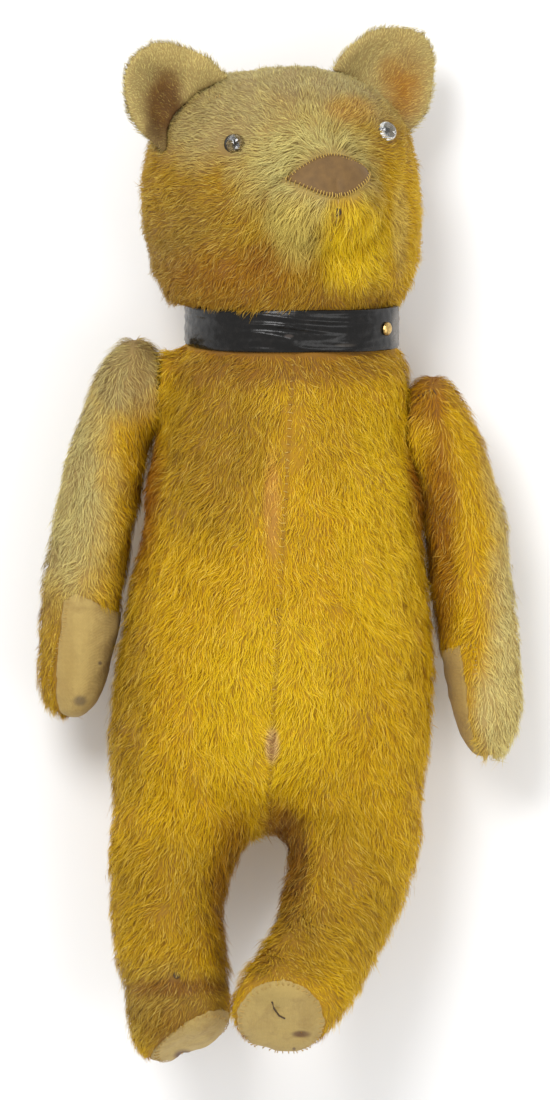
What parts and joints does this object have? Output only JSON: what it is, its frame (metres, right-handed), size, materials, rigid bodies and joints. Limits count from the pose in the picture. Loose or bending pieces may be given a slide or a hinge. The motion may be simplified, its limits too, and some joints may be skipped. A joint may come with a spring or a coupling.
{
  "type": "teddy bear",
  "caption": "Worn plush teddy bear with disc-jointed head and arms, clear glass eyes and a strap collar, lying on its back.",
  "frame": {"origin": "on the flat of the back, where the bear rests", "axes": "+Y towards the head, +Z towards the front, +X towards the bear's own left"},
  "size_m": [0.231, 0.4965, 0.132],
  "materials": {
    "golden_plush": "worn mohair pile, golden and faded",
    "pad_cotton": "stained woven cotton",
    "wood_wool": "packed fine shavings",
    "nose_leather": "worn matt",
    "eye_glass": "clear, its paint worn off",
    "leathercloth": "glossy and creased",
    "brass": "tarnished",
    "fibreboard": "pressed board",
    "steel": "bright wire and sheet"
  },
  "bodies": {
    "torso": {"body_skin_left": "golden_plush", "body_skin_right": "golden_plush", "foot_pad_left": "pad_cotton", "foot_pad_right": "pad_cotton", "body_stuffing": "wood_wool", "body_neck_disc": "fibreboard", "body_neck_washer": "steel", "neck_split_pin": "steel", "body_shoulder_left_disc": "fibreboard", "body_shoulder_left_washer": "steel", "shoulder_left_split_pin": "steel", "body_shoulder_right_disc": "fibreboard", "body_shoulder_right_washer": "steel", "shoulder_right_split_pin": "steel", "collar_strap": "leathercloth", "collar_stud": "brass"},
    "head": {"head_gusset": "golden_plush", "head_side_left": "golden_plush", "head_side_right": "golden_plush", "head_stuffing": "wood_wool", "ear_left": "golden_plush", "ear_right": "golden_plush", "nose_patch": "nose_leather", "eye_left": "eye_glass", "eye_right": "eye_glass", "eye_shank_left": "steel", "eye_shank_right": "steel", "head_neck_disc": "fibreboard", "head_neck_washer": "steel"},
    "arm_left": {"arm_outer_panel_left": "golden_plush", "arm_inner_panel_left": "golden_plush", "paw_pad_left": "pad_cotton", "arm_stuffing_left": "wood_wool", "arm_shoulder_left_disc": "fibreboard", "arm_shoulder_left_washer": "steel"},
    "arm_right": {"arm_outer_panel_right": "golden_plush", "arm_inner_panel_right": "golden_plush", "paw_pad_right": "pad_cotton", "arm_stuffing_right": "wood_wool", "arm_shoulder_right_disc": "fibreboard", "arm_shoulder_right_washer": "steel"}
  },
  "joints": [
    {"name": "head_turn", "type": "hinge", "parent": "torso", "child": "head", "pos_m": [0.008, 0.133, 0.058], "axis": [0.0069, 0.9954, 0.0958], "range_deg": [-90, 48]},
    {"name": "shoulder_left", "type": "hinge", "parent": "torso", "child": "arm_left", "pos_m": [0.064, 0.082, 0.055], "axis": [-1, 0, 0], "continuous": true},
    {"name": "shoulder_right", "type": "hinge", "parent": "torso", "child": "arm_right", "pos_m": [-0.0562, 0.1, 0.055], "axis": [-1, 0, 0], "continuous": true}
  ]
}
